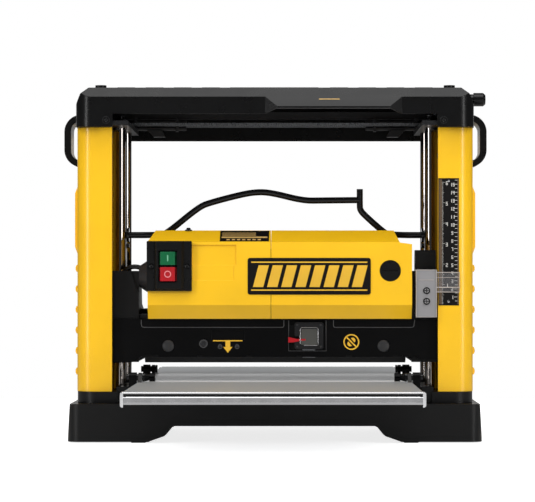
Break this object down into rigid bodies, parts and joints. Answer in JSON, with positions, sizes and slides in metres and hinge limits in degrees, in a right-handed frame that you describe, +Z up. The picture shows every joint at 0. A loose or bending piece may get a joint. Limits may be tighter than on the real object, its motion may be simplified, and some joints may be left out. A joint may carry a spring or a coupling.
{
  "type": "thickness planer",
  "caption": "Portable thickness planer: four-post frame, crank-raised cutting head with motor, folding infeed and outfeed tables, lock lever and side handles.",
  "frame": {"origin": "middle of the footprint, on the surface that the planer stands on", "axes": "+X to the operator's right, +Y the way the board leaves, +Z up"},
  "size_m": [0.5424, 0.85, 0.444],
  "materials": {
    "cast_black": "satin",
    "plastic_black": "satin",
    "panel_black": "satin",
    "lever_black": "gloss",
    "knob_black": "gloss",
    "yellow": "gloss",
    "bed_casting": "machined",
    "table_steel": "brushed",
    "chrome": "polished",
    "post_chrome": "polished",
    "steel": "turned",
    "zinc": "satin",
    "motor_metal": "satin",
    "bronze": "turned",
    "rubber": "matte",
    "scale_print": "printed",
    "plate_print": "printed",
    "bezel_grey": "gloss",
    "clear_smoke": "clear",
    "green": "gloss",
    "red": "gloss"
  },
  "bodies": {
    "frame": {"base_casting": "cast_black", "rubber_feet": "rubber", "bed_plate": "bed_casting", "bed_skin": "table_steel", "hinge_brackets": "panel_black", "hinge_pins": "lever_black", "guide_posts": "post_chrome", "left_side_cover": "yellow", "right_side_cover": "yellow", "side_cover_screws": "steel", "depth_scale": "scale_print", "left_top_bracket": "zinc", "right_top_bracket": "zinc", "cross_beams": "zinc", "top_cover": "plastic_black", "top_cover_screws": "lever_black", "left_carry_handle": "plastic_black", "right_carry_handle": "plastic_black", "crank_bush": "bronze", "drive_chain": "steel"},
    "infeed": {"infeed_table": "table_steel", "infeed_lip": "chrome"},
    "outfeed": {"outfeed_table": "table_steel", "outfeed_lip": "chrome"},
    "crank": {"crank_arm": "lever_black", "crank_gear": "steel"},
    "knob": {"crank_knob": "knob_black"},
    "right_screw": {"right_lead_screw": "steel", "screw_gear": "steel", "right_sprocket": "steel"},
    "left_screw": {"left_lead_screw": "steel", "left_sprocket": "steel"},
    "carriage": {"carriage_casting": "cast_black", "left_end_casting": "cast_black", "right_end_casting": "cast_black", "lift_nuts": "bronze", "front_panel": "panel_black", "panel_screws": "zinc", "gauge_bezel": "bezel_grey", "motor_cover_left": "yellow", "motor_cover_right": "yellow", "motor_body": "motor_metal", "brush_cap": "knob_black", "switch_box": "plastic_black", "name_plate": "plate_print", "pointer_bracket": "clear_smoke", "head_bearings": "steel", "drive_belt": "rubber", "feed_rollers_gearcase": "zinc", "dust_hood": "plastic_black"},
    "cutterhead": {"cutter_drum": "steel", "knives": "steel"},
    "rotor": {"motor_rotor": "steel"},
    "infeed_roll": {"infeed_roller": "rubber"},
    "outfeed_roll": {"outfeed_roller": "rubber"},
    "feeler": {"gauge_feeler": "steel"},
    "pointer": {"gauge_pointer": "red"},
    "start_button": {"green_button": "green"},
    "stop_button": {"red_button": "red"},
    "lever": {"lock_lever": "lever_black"}
  },
  "joints": [
    {"name": "carriage_lift", "type": "slide", "parent": "frame", "child": "carriage", "axis": [0, 0, 1], "range_m": [-0.019, 0.124]},
    {"name": "crank_turn", "type": "hinge", "parent": "frame", "child": "crank", "pos_m": [0.25, 0.084, 0.427], "axis": [1, 0, 0], "range_deg": [-4280, 27910]},
    {"name": "knob_spin", "type": "hinge", "parent": "crank", "child": "knob", "pos_m": [0.262, 0.03264, 0.43513], "axis": [1, 0, 0], "continuous": true},
    {"name": "right_screw_turn", "type": "hinge", "parent": "frame", "child": "right_screw", "pos_m": [0.205, 0.084, 0.2], "axis": [0, 0, 1], "range_deg": [-4280, 27910]},
    {"name": "left_screw_turn", "type": "hinge", "parent": "frame", "child": "left_screw", "pos_m": [-0.205, 0.084, 0.2], "axis": [0, 0, 1], "range_deg": [-4280, 27910]},
    {"name": "lock_lever_turn", "type": "hinge", "parent": "carriage", "child": "lever", "pos_m": [0, -0.044, 0.2576], "axis": [1, 0, 0], "range_deg": [0, 70]},
    {"name": "infeed_fold", "type": "hinge", "parent": "frame", "child": "infeed", "pos_m": [0, -0.147, 0.081], "axis": [-1, 0, 0], "range_deg": [0, 90]},
    {"name": "outfeed_fold", "type": "hinge", "parent": "frame", "child": "outfeed", "pos_m": [0, 0.147, 0.081], "axis": [1, 0, 0], "range_deg": [0, 90]},
    {"name": "start_press", "type": "slide", "parent": "carriage", "child": "start_button", "axis": [0, 1, 0], "range_m": [0, 0.003], "stiffness_N_per_m": 400},
    {"name": "stop_press", "type": "slide", "parent": "carriage", "child": "stop_button", "axis": [0, 1, 0], "range_m": [0, 0.003], "stiffness_N_per_m": 400},
    {"name": "cutterhead_spin", "type": "hinge", "parent": "carriage", "child": "cutterhead", "pos_m": [0, 0, 0.1225], "axis": [1, 0, 0], "continuous": true},
    {"name": "rotor_spin", "type": "hinge", "parent": "carriage", "child": "rotor", "pos_m": [0.2, -0.08, 0.205], "axis": [1, 0, 0], "continuous": true},
    {"name": "infeed_roller_spin", "type": "hinge", "parent": "carriage", "child": "infeed_roll", "pos_m": [0, -0.062, 0.1155], "axis": [1, 0, 0], "continuous": true},
    {"name": "outfeed_roller_spin", "type": "hinge", "parent": "carriage", "child": "outfeed_roll", "pos_m": [0, 0.062, 0.1155], "axis": [1, 0, 0], "continuous": true},
    {"name": "feeler_lift", "type": "slide", "parent": "carriage", "child": "feeler", "axis": [0, 0, 1], "range_m": [0, 0.003]},
    {"name": "pointer_lift", "type": "slide", "parent": "carriage", "child": "pointer", "axis": [0, 0, 1], "range_m": [-0.0001, 0.0031]}
  ],
  "couplings": [
    {"joint": "crank_turn", "follows": "carriage_lift", "rad_per_m": 3927},
    {"joint": "right_screw_turn", "follows": "carriage_lift", "rad_per_m": 3927},
    {"joint": "left_screw_turn", "follows": "carriage_lift", "rad_per_m": 3927},
    {"joint": "rotor_spin", "follows": "cutterhead_spin", "ratio": 1.5385},
    {"joint": "infeed_roller_spin", "follows": "cutterhead_spin", "ratio": -0.0063},
    {"joint": "outfeed_roller_spin", "follows": "cutterhead_spin", "ratio": -0.0063},
    {"joint": "pointer_lift", "follows": "feeler_lift", "ratio": 1}
  ]
}
